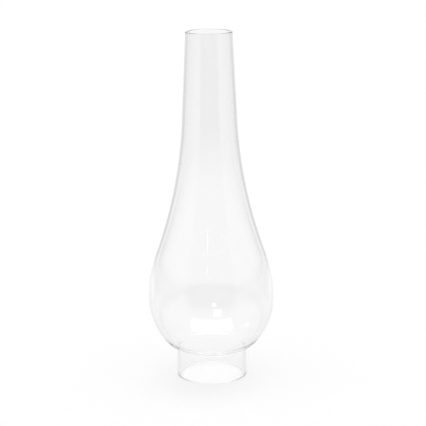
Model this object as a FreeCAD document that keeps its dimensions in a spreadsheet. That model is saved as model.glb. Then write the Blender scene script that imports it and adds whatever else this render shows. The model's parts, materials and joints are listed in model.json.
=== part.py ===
import FreeCAD, Part
import math
import os
import Sketcher

# Clear glass chimney of an oil lamp, in millimetres.
# It is one blown piece and a body of revolution about +Z. The origin is the centre of
# the foot ring, on the plane that the chimney stands on.
#
# From the bottom up, its wall follows:
#   a straight base tube that drops into the burner's chimney holder,
#   a crease where the tube turns out into the bulb,
#   a lower arc and a belly arc up to the widest point,
#   a shoulder arc, then a long hollow sweep, up to the flue,
#   a flue that narrows in a straight line to the fire-polished lip.

SIZES = {
    "base_radius": 26.5,
    "neck_height": 21.0,
    "crease_radius": 1.2,
    "lower_radius": 23.0,
    "belly_radius": 51.5,
    "bulb_radius": 47.5,
    "bulb_height": 61.5,
    "shoulder_radius": 100.0,
    "flue_radius": 20.5,
    "flue_height": 199.0,
    "top_radius": 17.4,
    "total_height": 263.0,
    "foot_wall": 2.4,
    "bulb_wall": 1.7,
    "flue_wall": 2.0,
    "foot_round": 0.7,
    "lip_round": 0.45,
}

# The inside differs from the outside by a wall: the size, its sign and the wall's cell.
# Heights are the same on both sides. A hollow bend grows by the wall, a crown shrinks.
INSIDE_OFFSETS = {
    "base_radius": (-1, "foot_wall"),
    "crease_radius": (+1, "foot_wall"),
    "lower_radius": (-1, "bulb_wall"),
    "belly_radius": (-1, "bulb_wall"),
    "bulb_radius": (-1, "bulb_wall"),
    "shoulder_radius": (-1, "bulb_wall"),
    "flue_radius": (-1, "flue_wall"),
    "top_radius": (-1, "flue_wall"),
}

# The outline's pieces, in the order in which the sketch holds them.
FOOT_LINE, TUBE, CREASE, LOWER, BELLY, SHOULDER, SWEEP, FLUE, TOP_LINE, AXIS_LINE = range(10)
START, END, CENTRE = 1, 2, 3
ORIGIN = (-1, START)

NODE = "glass_chimney"
EDGE_TOLERANCE = 0.01
VOLUME_TOLERANCE = 0.001


def vector(x, z):
    return FreeCAD.Vector(x, z, 0.0)


def angle_of(from_point, to_point):
    """Direction from one sketch point to another, in radians."""
    return math.atan2(to_point.y - from_point.y, to_point.x - from_point.x)


def arc(centre, radius, first, last):
    """An arc that runs anticlockwise between two angles."""
    circle = Part.Circle(centre, FreeCAD.Vector(0, 0, 1), radius)
    return Part.ArcOfCircle(circle, first, last)


def lower_arc_centre(size, crease_centre, belly_centre):
    """The lower arc touches the crease from outside and the belly arc from inside."""
    to_belly = size["belly_radius"] - size["lower_radius"]
    to_crease = size["lower_radius"] + size["crease_radius"]
    apart = crease_centre.distanceToPoint(belly_centre)
    cosine = (to_belly ** 2 + apart ** 2 - to_crease ** 2) / (2 * to_belly * apart)
    direction = angle_of(belly_centre, crease_centre) + math.acos(cosine)
    return belly_centre + vector(math.cos(direction), math.sin(direction)) * to_belly


def sweep_arc(size, shoulder_centre, flue_foot, flue_top):
    """Centre and radius of the hollow arc that touches the flue's foot and the shoulder."""
    taper = math.atan2(flue_foot.x - flue_top.x, flue_top.y - flue_foot.y)
    outward = vector(math.cos(taper), math.sin(taper))
    across = shoulder_centre - flue_foot
    shoulder = size["shoulder_radius"]
    radius = (across.dot(across) - shoulder ** 2) / (2 * (shoulder + across.dot(outward)))
    return flue_foot + outward * radius, radius


def outline(size):
    """The closed outline from the axis round the wall and back to the axis."""
    foot = vector(size["base_radius"], 0)
    tube_top = vector(size["base_radius"], size["neck_height"])
    flue_foot = vector(size["flue_radius"], size["flue_height"])
    flue_top = vector(size["top_radius"], size["total_height"])
    axis_top = vector(0, size["total_height"])
    crease = vector(size["base_radius"] + size["crease_radius"], size["neck_height"])
    belly = vector(size["bulb_radius"] - size["belly_radius"], size["bulb_height"])
    shoulder = vector(size["bulb_radius"] - size["shoulder_radius"], size["bulb_height"])
    lower = lower_arc_centre(size, crease, belly)
    sweep, sweep_radius = sweep_arc(size, shoulder, flue_foot, flue_top)
    crease_end = angle_of(crease, lower)
    lower_end = angle_of(belly, lower)
    shoulder_end = angle_of(shoulder, sweep)
    return [
        Part.LineSegment(vector(0, 0), foot),
        Part.LineSegment(foot, tube_top),
        arc(crease, size["crease_radius"], crease_end, math.pi),
        arc(lower, size["lower_radius"], crease_end - math.pi, lower_end),
        arc(belly, size["belly_radius"], lower_end, 0),
        arc(shoulder, size["shoulder_radius"], 0, shoulder_end),
        arc(sweep, sweep_radius, angle_of(sweep, flue_foot) % math.tau, math.pi + shoulder_end),
        Part.LineSegment(flue_foot, flue_top),
        Part.LineSegment(flue_top, axis_top),
        Part.LineSegment(axis_top, vector(0, 0)),
    ]


def tie_outline(sketch):
    """Join the pieces: smooth where the wall flows on, plain corners at foot, top and axis."""
    smooth = [
        (TUBE, END, CREASE, END),
        (CREASE, START, LOWER, START),
        (LOWER, END, BELLY, START),
        (BELLY, END, SHOULDER, START),
        (SHOULDER, END, SWEEP, END),
        (SWEEP, START, FLUE, START),
    ]
    corners = [
        (*ORIGIN, FOOT_LINE, START),
        (FOOT_LINE, END, TUBE, START),
        (FLUE, END, TOP_LINE, START),
        (TOP_LINE, END, AXIS_LINE, START),
        (AXIS_LINE, END, FOOT_LINE, START),
    ]
    for ends in smooth:
        sketch.addConstraint(Sketcher.Constraint("Tangent", *ends))
    for ends in corners:
        sketch.addConstraint(Sketcher.Constraint("Coincident", *ends))
    for level in (FOOT_LINE, TOP_LINE):
        sketch.addConstraint(Sketcher.Constraint("Horizontal", level))
    for upright in (TUBE, AXIS_LINE):
        sketch.addConstraint(Sketcher.Constraint("Vertical", upright))
    sketch.addConstraint(Sketcher.Constraint("Horizontal", BELLY, CENTRE, BELLY, END))


def dimension_outline(sketch, size, formula):
    """Give the outline its sizes, each bound to the sheet by a formula."""
    across = {
        "base_radius": (TUBE, START),
        "bulb_radius": (BELLY, END),
        "flue_radius": (FLUE, START),
        "top_radius": (FLUE, END),
    }
    up = {
        "neck_height": (TUBE, END),
        "bulb_height": (BELLY, END),
        "flue_height": (FLUE, START),
        "total_height": (FLUE, END),
    }
    round_ = {
        "crease_radius": CREASE,
        "lower_radius": LOWER,
        "belly_radius": BELLY,
        "shoulder_radius": SHOULDER,
    }
    constraints = {}
    for name, point in across.items():
        constraints[name] = Sketcher.Constraint("DistanceX", *ORIGIN, *point, size[name])
    for name, point in up.items():
        constraints[name] = Sketcher.Constraint("DistanceY", *ORIGIN, *point, size[name])
    for name, piece in round_.items():
        constraints[name] = Sketcher.Constraint("Radius", piece, size[name])
    for name, constraint in constraints.items():
        index = sketch.addConstraint(constraint)
        sketch.renameConstraint(index, name)
        sketch.setExpression(f"Constraints.{name}", formula[name])


def draw_outline(body, name, size, formula):
    """One closed sketch on the body's own XZ plane."""
    plane = next(item for item in body.Origin.OriginFeatures if item.Role == "XZ_Plane")
    sketch = body.newObject("Sketcher::SketchObject", name)
    sketch.AttachmentSupport = [(plane, "")]
    sketch.MapMode = "FlatFace"
    sketch.addGeometry(outline(size), False)
    tie_outline(sketch)
    dimension_outline(sketch, size, formula)
    body.Document.recompute()
    return sketch


def turn(body, kind, name, sketch):
    """Turn a sketch once round the vertical axis, as a solid or as a cut."""
    feature = body.newObject(kind, name)
    feature.Profile = sketch
    feature.ReferenceAxis = (sketch, ["V_Axis"])
    feature.Angle = 360.0
    sketch.Visibility = False
    body.Document.recompute()
    return feature


def ring_edges(feature, height, radii):
    """Names of the round edges at one height with the given radii."""
    names = []
    for number, edge in enumerate(feature.Shape.Edges, start=1):
        if not isinstance(edge.Curve, Part.Circle):
            continue
        level = abs(edge.Curve.Center.z - height) < EDGE_TOLERANCE
        wanted = any(abs(edge.Curve.Radius - radius) < EDGE_TOLERANCE for radius in radii)
        if level and wanted:
            names.append(f"Edge{number}")
    return names


def round_edges(body, name, base, edges, cell):
    """Round both edges of a ring by the radius in one cell of the sheet."""
    if len(edges) != 2:
        raise RuntimeError(f"{name}: expected 2 ring edges, found {len(edges)}")
    fillet = body.newObject("PartDesign::Fillet", name)
    fillet.Base = (base, edges)
    fillet.setExpression("Radius", f"Sizes.{cell}")
    body.Document.recompute()
    return fillet


def write_sheet(doc):
    """The driving dimensions, one named cell each."""
    sheet = doc.addObject("Spreadsheet::Sheet", "Sizes")
    for row, (name, value) in enumerate(SIZES.items(), start=1):
        sheet.set(f"A{row}", name.replace("_", " "))
        sheet.set(f"B{row}", str(value))
        sheet.setAlias(f"B{row}", name)
    doc.recompute()
    return sheet


def inside_sizes():
    """Sizes and sheet formulas of the inside of the wall."""
    size = dict(SIZES)
    formula = {name: f"Sizes.{name}" for name in SIZES}
    for name, (sign, wall) in INSIDE_OFFSETS.items():
        size[name] = SIZES[name] + sign * SIZES[wall]
        formula[name] = f"Sizes.{name} {'+' if sign > 0 else '-'} Sizes.{wall}"
    return size, formula


def build_chimney(doc):
    """Outside turned as a solid, inside turned as a cut, then the lip and foot rounded."""
    body = doc.addObject("PartDesign::Body", "GlassChimney")
    body.Label = NODE
    body.Placement = FreeCAD.Placement()
    outer_size = dict(SIZES)
    outer_formula = {name: f"Sizes.{name}" for name in SIZES}
    inner_size, inner_formula = inside_sizes()

    outer_sketch = draw_outline(body, "OuterOutline", outer_size, outer_formula)
    outside = turn(body, "PartDesign::Revolution", "Outside", outer_sketch)
    full_volume = outside.Shape.Volume
    inner_sketch = draw_outline(body, "InnerOutline", inner_size, inner_formula)
    inside_volume = Part.Face(Part.Wire(inner_sketch.Shape.Edges)).revolve(
        FreeCAD.Vector(0, 0, 0), FreeCAD.Vector(0, 0, 1), 360.0).Volume
    wall = turn(body, "PartDesign::Groove", "Inside", inner_sketch)
    removed = full_volume - wall.Shape.Volume
    if abs(removed - abs(inside_volume)) > VOLUME_TOLERANCE * removed:
        raise RuntimeError(f"the inside cut {removed:.0f} of {inside_volume:.0f} cubic mm")

    top_radii = (outer_size["top_radius"], inner_size["top_radius"])
    lip_edges = ring_edges(wall, SIZES["total_height"], top_radii)
    lip = round_edges(body, "Lip", wall, lip_edges, "lip_round")
    foot_radii = (outer_size["base_radius"], inner_size["base_radius"])
    foot_edges = ring_edges(lip, 0.0, foot_radii)
    round_edges(body, "Foot", lip, foot_edges, "foot_round")
    return body


def check_document(doc):
    """Stop if anything in the document failed to rebuild."""
    for item in doc.Objects:
        if "Invalid" in item.State or "Error" in item.State:
            raise RuntimeError(f"{item.Name} failed: {item.State}")
        if item.TypeId == "Sketcher::SketchObject" and not item.FullyConstrained:
            raise RuntimeError(f"{item.Name} is not fully constrained")


def export_node(body):
    """Check one sub-part's solid and write it."""
    shape = body.Shape
    if shape.isNull() or not shape.isValid() or len(shape.Solids) != 1:
        raise RuntimeError(f"{body.Label} is not one valid solid")
    shape.exportStep(f"parts/{body.Label}.step")
    box = shape.optimalBoundingBox(False, False)
    print(f"{body.Label}: {box.XLength:.2f} x {box.YLength:.2f} x {box.ZLength:.2f} mm, "
          f"{shape.Volume / 1000:.1f} cubic cm")


def main():
    os.makedirs("parts", exist_ok=True)
    doc = FreeCAD.newDocument("OilLampChimney")
    write_sheet(doc)
    body = build_chimney(doc)
    doc.recompute()
    check_document(doc)
    export_node(body)


main()
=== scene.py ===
import json
import math

import bmesh
import bpy
from mathutils import Matrix, Vector

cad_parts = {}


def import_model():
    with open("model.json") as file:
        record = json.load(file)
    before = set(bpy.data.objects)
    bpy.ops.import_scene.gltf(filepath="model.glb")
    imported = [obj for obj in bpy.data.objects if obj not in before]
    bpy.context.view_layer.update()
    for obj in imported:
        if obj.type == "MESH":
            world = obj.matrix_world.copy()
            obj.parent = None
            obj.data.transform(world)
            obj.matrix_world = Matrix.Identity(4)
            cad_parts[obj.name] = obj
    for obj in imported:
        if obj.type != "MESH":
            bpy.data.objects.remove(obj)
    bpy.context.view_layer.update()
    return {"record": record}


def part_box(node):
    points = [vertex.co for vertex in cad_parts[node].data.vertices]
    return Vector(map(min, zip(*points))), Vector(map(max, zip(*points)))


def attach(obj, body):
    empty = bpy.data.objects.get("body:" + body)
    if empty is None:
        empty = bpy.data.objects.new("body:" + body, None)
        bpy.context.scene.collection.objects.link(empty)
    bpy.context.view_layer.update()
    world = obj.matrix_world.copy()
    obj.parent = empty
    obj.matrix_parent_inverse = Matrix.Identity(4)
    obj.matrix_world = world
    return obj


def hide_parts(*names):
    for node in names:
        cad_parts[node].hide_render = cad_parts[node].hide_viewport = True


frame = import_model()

# A clear blown-glass oil lamp chimney on a white table, in metres.

MM = 0.001
NODE = "glass_chimney"

NODE_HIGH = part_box(NODE)[1]
MOUNTS = {mount["name"]: mount for mount in frame["record"]["mounts"]}

# Outline of the outside of the wall.
OUTSIDE = {
    "base_radius": MOUNTS["base_fitter"]["dims"]["r_mm"] * MM,
    "neck_height": 21.0 * MM,
    "crease_radius": 1.2 * MM,
    "lower_radius": 23.0 * MM,
    "belly_radius": 51.5 * MM,
    "bulb_radius": NODE_HIGH.x,
    "bulb_height": 61.5 * MM,
    "shoulder_radius": 100.0 * MM,
    "flue_radius": 20.5 * MM,
    "flue_height": 199.0 * MM,
    "top_radius": 17.4 * MM,
    "total_height": NODE_HIGH.z,
}
FOOT_WALL = OUTSIDE["base_radius"] - MOUNTS["base_throat"]["dims"]["r_mm"] * MM
BULB_WALL = 1.7 * MM
FLUE_WALL = 2.0 * MM
INSIDE = dict(
    OUTSIDE,
    base_radius=OUTSIDE["base_radius"] - FOOT_WALL,
    crease_radius=OUTSIDE["crease_radius"] + FOOT_WALL,
    lower_radius=OUTSIDE["lower_radius"] - BULB_WALL,
    belly_radius=OUTSIDE["belly_radius"] - BULB_WALL,
    bulb_radius=OUTSIDE["bulb_radius"] - BULB_WALL,
    shoulder_radius=OUTSIDE["shoulder_radius"] - BULB_WALL,
    flue_radius=OUTSIDE["flue_radius"] - FLUE_WALL,
    top_radius=OUTSIDE["top_radius"] - FLUE_WALL,
)
FOOT_ROUND = 0.7 * MM
LIP_ROUND = 0.45 * MM

# How finely the outline is divided: round the axis, along the wall, and round its bends.
SEGMENTS = 240
STEP = 2.0 * MM
TURN_STEP = math.radians(4.0)

GLASS_TINT = 0.985
GLASS_IOR = 1.5

# Marks of hand blowing in the surface.
RIPPLE_SCALE = 38.0
DRAW_SCALE = 260.0
DRAW_STRETCH = 0.05
DRAW_SHARE = 0.15
RIPPLE_DEPTH = 0.03 * MM
HAZE_SCALE = 90.0
HAZE_RANGE = (0.4, 0.75)
HAZE = 0.012

# The brightest level that a ramp of levels can hold.
TOP_LEVEL = 4.0


def along_arc(centre, radius, first, last):
    """Points on an arc of the outline, both ends included."""
    turn = abs(last - first)
    count = max(2, math.ceil(max(turn / TURN_STEP, turn * radius / STEP)))
    angles = [first + (last - first) * i / count for i in range(count + 1)]
    return [centre + Vector((math.cos(a), math.sin(a))) * radius for a in angles]


def along_line(start, end):
    """Points on a straight stretch of the outline, both ends included."""
    count = max(1, math.ceil((end - start).length / STEP))
    return [start.lerp(end, i / count) for i in range(count + 1)]


def direction(start, end):
    return math.atan2(end.y - start.y, end.x - start.x)


def lower_arc_centre(size, crease, belly):
    """The lower arc touches the crease from outside and the belly arc from inside."""
    to_belly = size["belly_radius"] - size["lower_radius"]
    to_crease = size["lower_radius"] + size["crease_radius"]
    apart = (crease - belly).length
    cosine = (to_belly ** 2 + apart ** 2 - to_crease ** 2) / (2 * to_belly * apart)
    turn = direction(belly, crease) + math.acos(cosine)
    return belly + Vector((math.cos(turn), math.sin(turn))) * to_belly


def flue_taper(size):
    """How far the flue's wall leans in, in radians."""
    narrowing = size["flue_radius"] - size["top_radius"]
    return math.atan2(narrowing, size["total_height"] - size["flue_height"])


def sweep_arc(size, shoulder, flue_foot):
    """Centre and radius of the hollow arc between the shoulder and the flue."""
    lean = flue_taper(size)
    outward = Vector((math.cos(lean), math.sin(lean)))
    across = shoulder - flue_foot
    crown = size["shoulder_radius"]
    radius = (across.dot(across) - crown ** 2) / (2 * (crown + across.dot(outward)))
    return flue_foot + outward * radius, radius


def wall_points(size, low, high):
    """One side of the wall from just above the foot to just below the lip."""
    base = size["base_radius"]
    crease = Vector((base + size["crease_radius"], size["neck_height"]))
    belly = Vector((size["bulb_radius"] - size["belly_radius"], size["bulb_height"]))
    shoulder = Vector((size["bulb_radius"] - size["shoulder_radius"], size["bulb_height"]))
    lower = lower_arc_centre(size, crease, belly)
    flue_foot = Vector((size["flue_radius"], size["flue_height"]))
    sweep, sweep_radius = sweep_arc(size, shoulder, flue_foot)
    crease_end = direction(crease, lower)
    lower_end = direction(belly, lower)
    shoulder_end = direction(shoulder, sweep)
    flue_top = flue_foot + Vector((-math.tan(flue_taper(size)), 1.0)) * (high - flue_foot.y)
    stretches = [
        along_line(Vector((base, low)), Vector((base, crease.y))),
        along_arc(crease, size["crease_radius"], math.pi, crease_end),
        along_arc(lower, size["lower_radius"], crease_end - math.pi, lower_end),
        along_arc(belly, size["belly_radius"], lower_end, 0.0),
        along_arc(shoulder, size["shoulder_radius"], 0.0, shoulder_end),
        along_arc(sweep, sweep_radius, math.pi + shoulder_end, math.pi + flue_taper(size)),
        along_line(flue_foot, flue_top),
    ]
    points = stretches[0]
    for stretch in stretches[1:]:
        points = points + stretch[1:]
    return points


def wall_section():
    """The closed cross-section of the glass: up the outside, over the lip, down the inside."""
    top = OUTSIDE["total_height"]
    lip_low = top - LIP_ROUND
    outer = wall_points(OUTSIDE, FOOT_ROUND, lip_low)
    inner = wall_points(INSIDE, FOOT_ROUND, lip_low)
    lip_out = Vector((outer[-1].x - LIP_ROUND, lip_low))
    lip_in = Vector((inner[-1].x + LIP_ROUND, lip_low))
    lip = along_arc(lip_out, LIP_ROUND, 0.0, math.pi / 2)
    lip = lip + along_arc(lip_in, LIP_ROUND, math.pi / 2, math.pi)
    foot_in = Vector((INSIDE["base_radius"] + FOOT_ROUND, FOOT_ROUND))
    foot_out = Vector((OUTSIDE["base_radius"] - FOOT_ROUND, FOOT_ROUND))
    foot = along_arc(foot_in, FOOT_ROUND, math.pi, math.pi * 1.5)
    foot = foot + along_arc(foot_out, FOOT_ROUND, math.pi * 1.5, math.tau)
    return outer + lip[1:] + inner[-2::-1] + foot[1:-1]


def glass_mesh():
    """The section turned once round the axis, as quads."""
    section = wall_section()
    mesh = bmesh.new()
    rings = []
    for index in range(SEGMENTS):
        angle = math.tau * index / SEGMENTS
        across = Vector((math.cos(angle), math.sin(angle)))
        rings.append([mesh.verts.new((p.x * across.x, p.x * across.y, p.y)) for p in section])
    count = len(section)
    for index in range(SEGMENTS):
        here, there = rings[index], rings[(index + 1) % SEGMENTS]
        for i in range(count):
            j = (i + 1) % count
            face = mesh.faces.new((here[i], there[i], there[j], here[j]))
            face.smooth = True
    data = bpy.data.meshes.new("blown_glass")
    mesh.to_mesh(data)
    mesh.free()
    return data


def feed(tree, socket, value):
    """Sets a socket to a number, or links a node's output to it."""
    if isinstance(value, (int, float)):
        socket.default_value = value
    else:
        tree.links.new(value, socket)


def maths(tree, operation, *values):
    node = tree.nodes.new("ShaderNodeMath")
    node.operation = operation
    for socket, value in zip(node.inputs, values):
        feed(tree, socket, value)
    return node.outputs[0]


def eased(tree, value, start, end, low=0.0, high=1.0):
    """Runs smoothly from low at start to high at end."""
    node = tree.nodes.new("ShaderNodeMapRange")
    node.interpolation_type = "SMOOTHSTEP"
    feed(tree, node.inputs["Value"], value)
    feed(tree, node.inputs["From Min"], start)
    feed(tree, node.inputs["From Max"], end)
    feed(tree, node.inputs["To Min"], low)
    feed(tree, node.inputs["To Max"], high)
    return node.outputs["Result"]


def graded(tree, value, stops):
    """A level that runs in straight stretches through stops of (value, level)."""
    reach = stops[-1][0]
    node = tree.nodes.new("ShaderNodeValToRGB")
    elements = node.color_ramp.elements
    while len(elements) < len(stops):
        elements.new(1.0)
    for element, (position, level) in zip(elements, stops):
        element.position = position / reach
        element.color = (level / TOP_LEVEL, level / TOP_LEVEL, level / TOP_LEVEL, 1.0)
    feed(tree, node.inputs["Fac"], maths(tree, "DIVIDE", value, reach))
    return maths(tree, "MULTIPLY", node.outputs["Color"], TOP_LEVEL)


def mixed(tree, factor, first, second):
    node = tree.nodes.new("ShaderNodeMix")
    feed(tree, node.inputs["Factor"], factor)
    feed(tree, node.inputs["A"], first)
    feed(tree, node.inputs["B"], second)
    return node.outputs["Result"]


def noise(tree, vector, scale, detail):
    node = tree.nodes.new("ShaderNodeTexNoise")
    feed(tree, node.inputs["Vector"], vector)
    feed(tree, node.inputs["Scale"], scale)
    feed(tree, node.inputs["Detail"], detail)
    return node.outputs["Fac"]


def glass_material():
    """Clear glass with the faint ripples and draw lines that blowing leaves in it."""
    material = bpy.data.materials.new("clear_blown_glass")
    material.use_nodes = True
    tree = material.node_tree
    shader = tree.nodes["Principled BSDF"]
    shader.inputs["Base Color"].default_value = (GLASS_TINT, GLASS_TINT, GLASS_TINT, 1.0)
    shader.inputs["IOR"].default_value = GLASS_IOR
    shader.inputs["Transmission Weight"].default_value = 1.0
    place = tree.nodes.new("ShaderNodeTexCoord").outputs["Object"]
    stretch = tree.nodes.new("ShaderNodeMapping")
    stretch.inputs["Scale"].default_value = (1.0, 1.0, DRAW_STRETCH)
    tree.links.new(place, stretch.inputs["Vector"])
    ripple = noise(tree, place, RIPPLE_SCALE, 1.0)
    draw = noise(tree, stretch.outputs["Vector"], DRAW_SCALE, 1.0)
    bump = tree.nodes.new("ShaderNodeBump")
    bump.inputs["Strength"].default_value = 1.0
    bump.inputs["Distance"].default_value = RIPPLE_DEPTH
    feed(tree, bump.inputs["Height"], mixed(tree, DRAW_SHARE, ripple, draw))
    tree.links.new(bump.outputs["Normal"], shader.inputs["Normal"])
    haze = noise(tree, place, HAZE_SCALE, 3.0)
    uneven = eased(tree, haze, *HAZE_RANGE, 0.0, HAZE)
    tree.links.new(uneven, shader.inputs["Roughness"])
    return material


glass = bpy.data.objects.new("blown_glass_chimney", glass_mesh())
bpy.context.scene.collection.objects.link(glass)
glass.data.materials.append(glass_material())
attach(glass, "root")
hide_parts(NODE)

# ---- stage ----
# Directions are angles in degrees: bearing from the front (-Y), positive towards +X, and height.
# The paper: half its width, its own glow, and the share of light that it throws back.
FLOOR_SIZE = 8.0
FLOOR_GLOW = 0.8
FLOOR_PAINT = 0.2
# Painted on the paper: light that the bulb gathers inside its foot, and the soft shadow in front.
GATHERED_RADIUS = 25.0 * MM
GATHERED_CORE = 0.86
GATHERED_GLOW = 0.1
SHADOW_PLACE = (-7.0 * MM, -33.0 * MM)
SHADOW_RADIUS = 60.0 * MM
SHADOW_DEPTH = 0.035
# Painted reflection: the levels that the paper glows with only where the glass mirrors it, by distance
# from the axis in metres: bright close by, dark further out in front, where the studio is open, and
# brightest straight behind.
FLOOR_FRONT = ((0.0, 0.85), (0.15, 0.9), (0.5, 0.15), (4.5, 0.15))
FLOOR_SIDES = ((0.0, 0.85), (0.2, 0.9), (0.5, 0.55), (4.5, 0.4))
FLOOR_BACK = ((0.0, 0.85), (0.4, 0.95), (0.8, 0.7), (4.5, 0.8))
FLOOR_BEHIND = ((0.0, 0.85), (0.1, 1.2), (0.5, 1.0), (4.5, 0.8))
# Bearings over which those levels change from each one to the next.
FRONT_EDGE = (40.0, 50.0)
BACK_EDGE = (105.0, 140.0)
BEHIND_EDGE = (160.0, 172.0)
# What it mirrors of the room, by height above the horizon, with a dark opening in front.
OPENING_EDGE = (43.0, 49.0)
ROOM_FRONT = ((0.0, 0.2), (10.0, 0.55), (30.0, 0.5), (45.0, 0.75), (90.0, 1.2))
ROOM_SIDES = ((0.0, 0.35), (10.0, 0.8), (45.0, 0.8), (90.0, 1.2))
# The panel overhead, as if 1 m above the glass. It narrows towards the back.
PANEL_HALF_WIDTH = 0.62
PANEL_NARROWING = 0.6
PANEL_FRONT = -0.56
PANEL_BACK = 0.22
PANEL_SOFT = 0.05
PANEL_GLOW = 2.4
# Small lamps: bearing, half width, height, half height, strength.
LAMPS = (
    (-8.0, 1.0, 20.3, 2.5, 1.8),
    (-6.0, 4.0, 29.6, 2.4, 5.5),
    (-15.5, 10.0, 44.0, 6.5, 2.2),
    (-110.0, 2.5, 37.0, 10.0, 1.6),
)
LAMP_SOFT = 1.0
# The room that straight light sees.
PALE = 1.03

# The camera: metres, millimetres of lens and sensor, and degrees.
CAMERA_PLACE = (0.00186, -1.1288, 0.39443)
CAMERA_DOWN = 13.356
CAMERA_ROLL = -0.536
CAMERA_LENS = 130.3
CAMERA_SENSOR = 36.0
CAMERA_NEAR = 0.01
CAMERA_FAR = 50.0

# How many times light may be mirrored or bent, in all and of each kind.
ALL_BOUNCES = 96
EACH_BOUNCES = 64


def reflected(tree):
    """1 for light that has been mirrored by the glass, 0 for light that comes straight."""
    path = tree.nodes.new("ShaderNodeLightPath")
    return maths(tree, "GREATER_THAN", path.outputs["Glossy Depth"], 0.5)


def bearing(tree, x, y):
    """How far to the side of the front, in degrees, positive towards +X."""
    return maths(tree, "DEGREES", maths(tree, "ARCTAN2", x, maths(tree, "MULTIPLY", y, -1.0)))


def distance(tree, x, y, place):
    """How far a point of the paper is from a place on it, in metres."""
    across = maths(tree, "SUBTRACT", x, place[0])
    along = maths(tree, "SUBTRACT", y, place[1])
    squares = maths(tree, "MULTIPLY_ADD", across, across, maths(tree, "MULTIPLY", along, along))
    return maths(tree, "SQRT", squares)


def floor_material():
    """White paper, with a painted pool of light inside the foot and a painted shadow in front. What the
    glass mirrors of it is a painted reflection with levels of its own, darkest far out in front.
    """
    material = bpy.data.materials.new("white_paper")
    material.use_nodes = True
    tree = material.node_tree
    coords = tree.nodes.new("ShaderNodeTexCoord")
    split = tree.nodes.new("ShaderNodeSeparateXYZ")
    tree.links.new(coords.outputs["Object"], split.inputs[0])
    x, y = split.outputs["X"], split.outputs["Y"]
    far = distance(tree, x, y, (0.0, 0.0))
    side = maths(tree, "ABSOLUTE", bearing(tree, x, y))
    level = graded(tree, far, FLOOR_FRONT)
    for edge, stops in ((FRONT_EDGE, FLOOR_SIDES), (BACK_EDGE, FLOOR_BACK), (BEHIND_EDGE, FLOOR_BEHIND)):
        level = mixed(tree, eased(tree, side, *edge), level, graded(tree, far, stops))
    mirrored = reflected(tree)
    shader = tree.nodes["Principled BSDF"]
    tree.links.new(mixed(tree, mirrored, FLOOR_PAINT, 0.0), shader.inputs["Base Color"])
    shader.inputs["Roughness"].default_value = 1.0
    shader.inputs["Specular IOR Level"].default_value = 0.0
    shader.inputs["Emission Color"].default_value = (1.0, 1.0, 1.0, 1.0)
    inside = eased(tree, far, GATHERED_RADIUS, GATHERED_RADIUS * GATHERED_CORE)
    shadow = distance(tree, x, y, SHADOW_PLACE)
    outside = eased(tree, shadow, 0.0, SHADOW_RADIUS, FLOOR_GLOW - SHADOW_DEPTH, FLOOR_GLOW)
    glow = mixed(tree, inside, outside, FLOOR_GLOW + GATHERED_GLOW)
    # Mirrored rays see the painted reflection levels; straight rays see the glow with its painted pool
    # of light and painted shadow.
    tree.links.new(mixed(tree, mirrored, glow, level), shader.inputs["Emission Strength"])
    material.cycles.emission_sampling = "NONE"
    return material


def floor():
    """The flat sheet that the chimney stands on."""
    mesh = bmesh.new()
    corners = [(-1, -1), (1, -1), (1, 1), (-1, 1)]
    mesh.faces.new([mesh.verts.new((x * FLOOR_SIZE, y * FLOOR_SIZE, 0.0)) for x, y in corners])
    data = bpy.data.meshes.new("floor")
    mesh.to_mesh(data)
    mesh.free()
    obj = bpy.data.objects.new("floor", data)
    bpy.context.scene.collection.objects.link(obj)
    obj.data.materials.append(floor_material())


def boxed(tree, value, low, high, soft):
    """1 between low and high, falling to 0 over the soft edge on each side."""
    rise = eased(tree, value, low - soft, low + soft)
    return maths(tree, "MULTIPLY", rise, eased(tree, value, high + soft, high - soft))


def lamp(tree, side, height, middle, half_width, level, half_height, strength):
    """A soft-edged patch of light at one bearing and height."""
    across = boxed(tree, side, middle - half_width, middle + half_width, LAMP_SOFT)
    up = boxed(tree, height, level - half_height, level + half_height, LAMP_SOFT)
    return maths(tree, "MULTIPLY", maths(tree, "MULTIPLY", across, up), strength)


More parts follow.
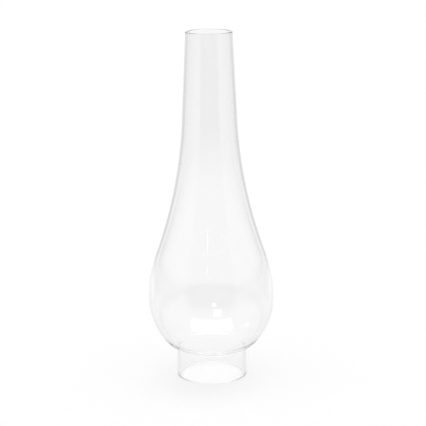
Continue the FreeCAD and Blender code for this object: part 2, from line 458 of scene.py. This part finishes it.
def world():
    """A plain pale room. The glass mirrors a dark opening, pale walls, a panel and small lamps."""
    studio = bpy.data.worlds.new("studio")
    bpy.context.scene.world = studio
    studio.use_nodes = True
    tree = studio.node_tree
    coords = tree.nodes.new("ShaderNodeTexCoord")
    split = tree.nodes.new("ShaderNodeSeparateXYZ")
    tree.links.new(coords.outputs["Generated"], split.inputs[0])
    x, y, z = split.outputs
    side = bearing(tree, x, y)
    height = maths(tree, "DEGREES", maths(tree, "ARCSINE", z))
    beside = eased(tree, maths(tree, "ABSOLUTE", side), *OPENING_EDGE)
    light = mixed(tree, beside, graded(tree, height, ROOM_FRONT), graded(tree, height, ROOM_SIDES))
    beyond = maths(tree, "DIVIDE", y, z)
    width = maths(tree, "MULTIPLY_ADD", beyond, -PANEL_NARROWING, 1.0)
    aside = maths(tree, "DIVIDE", maths(tree, "DIVIDE", x, z), width)
    across = boxed(tree, aside, -PANEL_HALF_WIDTH, PANEL_HALF_WIDTH, PANEL_SOFT)
    along = boxed(tree, beyond, PANEL_FRONT, PANEL_BACK, PANEL_SOFT)
    overhead = maths(tree, "MULTIPLY", maths(tree, "GREATER_THAN", z, 0.0), PANEL_GLOW)
    panel = maths(tree, "MULTIPLY", maths(tree, "MULTIPLY", across, along), overhead)
    light = maths(tree, "ADD", light, panel)
    for middle, half_width, level, half_height, strength in LAMPS:
        glow = lamp(tree, side, height, middle, half_width, level, half_height, strength)
        light = maths(tree, "ADD", light, glow)
    light = mixed(tree, reflected(tree), PALE, light)
    back = tree.nodes["Background"]
    tree.links.new(light, back.inputs["Color"])
    back.inputs["Strength"].default_value = 1.0


def camera():
    """The photograph's viewing angle."""
    data = bpy.data.cameras.new("camera")
    data.sensor_width = CAMERA_SENSOR
    data.lens = CAMERA_LENS
    data.clip_start = CAMERA_NEAR
    data.clip_end = CAMERA_FAR
    obj = bpy.data.objects.new("camera", data)
    bpy.context.scene.collection.objects.link(obj)
    tilt = math.radians(90.0 - CAMERA_DOWN)
    roll = math.radians(CAMERA_ROLL)
    turn = Matrix.Rotation(tilt, 4, "X") @ Matrix.Rotation(roll, 4, "Z")
    obj.matrix_world = Matrix.Translation(CAMERA_PLACE) @ turn
    bpy.context.scene.camera = obj


floor()
world()
camera()
bpy.context.scene.view_settings.view_transform = "Standard"
cycles = bpy.context.scene.cycles
cycles.max_bounces = ALL_BOUNCES
cycles.transmission_bounces = EACH_BOUNCES
cycles.glossy_bounces = EACH_BOUNCES
